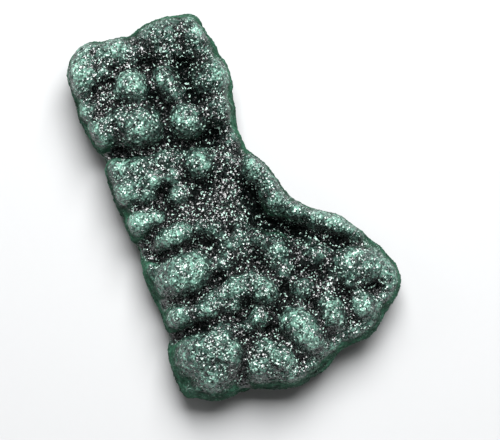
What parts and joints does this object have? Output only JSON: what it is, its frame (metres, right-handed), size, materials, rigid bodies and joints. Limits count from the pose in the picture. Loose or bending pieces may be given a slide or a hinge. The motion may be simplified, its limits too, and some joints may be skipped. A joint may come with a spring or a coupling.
{
  "type": "botryoidal mineral specimen",
  "caption": "Hand-sized slab of green botryoidal malachite, boot-shaped in outline, with a knobby, sparkling front of rounded domes and a broken flat back that it rests on.",
  "frame": {"origin": "middle of the bounding box at the resting face, on the broken back", "axes": "+Y along the slab towards its narrow end, +Z out of the knobby front, +X towards the side that the wide end juts out on"},
  "size_m": [0.0614, 0.0986, 0.022],
  "materials": {
    "malachite": "velvety coat of tiny crystals, dark green to mint on the crowns"
  },
  "bodies": {
    "root": {"malachite_slab": "malachite"}
  },
  "joints": []
}
